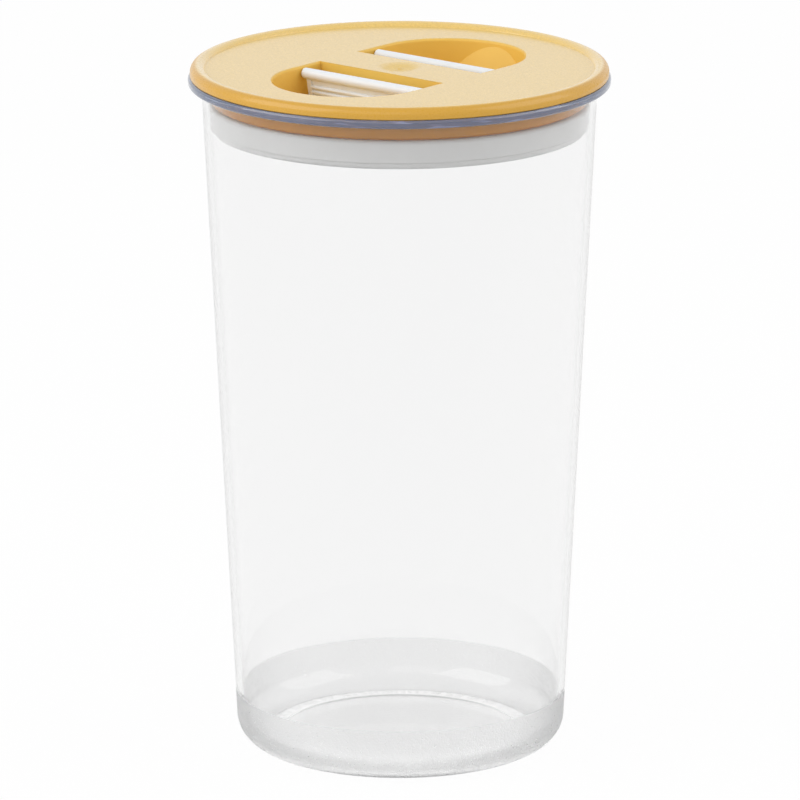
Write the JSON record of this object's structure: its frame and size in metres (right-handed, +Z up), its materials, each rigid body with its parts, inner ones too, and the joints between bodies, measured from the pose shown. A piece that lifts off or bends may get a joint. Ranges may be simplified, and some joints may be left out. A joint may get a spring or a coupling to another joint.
{
  "type": "food canister",
  "caption": "Clear tapered food canister with a flanged mouth and a lift-off lid whose pinch grips, in finger wells beside a bridge, lower a spring-held plate to slacken the seal.",
  "frame": {"origin": "centre of the foot, on the surface the canister stands on", "axes": "+Z up along the canister's axis; +X along the lid's bridge; -Y towards the front finger well"},
  "size_m": [0.1315, 0.1314, 0.2185],
  "materials": {
    "clear_plastic": "clear and glossy, with a frosted foot",
    "yellow_plastic": "fine-grained flat top, glossy shoulder and wells",
    "white_plastic": "satin moulded",
    "silicone": "soft, translucent white",
    "steel": "plain"
  },
  "bodies": {
    "canister": {"canister_body": "clear_plastic"},
    "lid": {"lid_cover": "yellow_plastic", "lid_tray": "yellow_plastic", "front_grip_pin": "steel", "rear_grip_pin": "steel", "seal_gasket": "silicone", "left_return_spring": "steel", "right_return_spring": "steel", "tray_screws": "steel"},
    "front_grip": {"front_grip": "white_plastic"},
    "rear_grip": {"rear_grip": "white_plastic"},
    "seal_plate": {"seal_plate": "white_plastic", "spring_washers": "steel", "post_screws": "steel"}
  },
  "joints": [
    {"name": "lid_lift", "type": "slide", "parent": "canister", "child": "lid", "axis": [0, 0, 1], "range_m": [0, 0.12]},
    {"name": "front_grip_squeeze", "type": "hinge", "parent": "lid", "child": "front_grip", "pos_m": [0, -0.0127, 0.2083], "axis": [-1, 0, 0], "range_deg": [0, 24]},
    {"name": "rear_grip_squeeze", "type": "hinge", "parent": "lid", "child": "rear_grip", "pos_m": [0, 0.0127, 0.2083], "axis": [1, 0, 0], "range_deg": [0, 24]},
    {"name": "seal_release", "type": "slide", "parent": "lid", "child": "seal_plate", "axis": [0, 0, -1], "range_m": [0, 0.0027], "stiffness_N_per_m": 400, "springref_m": -0.003, "deforming": ["seal_gasket", "left_return_spring", "right_return_spring"]}
  ],
  "couplings": [
    {"joint": "front_grip_squeeze", "follows": "seal_release", "rad_per_m": 154.98},
    {"joint": "rear_grip_squeeze", "follows": "seal_release", "rad_per_m": 154.98}
  ]
}
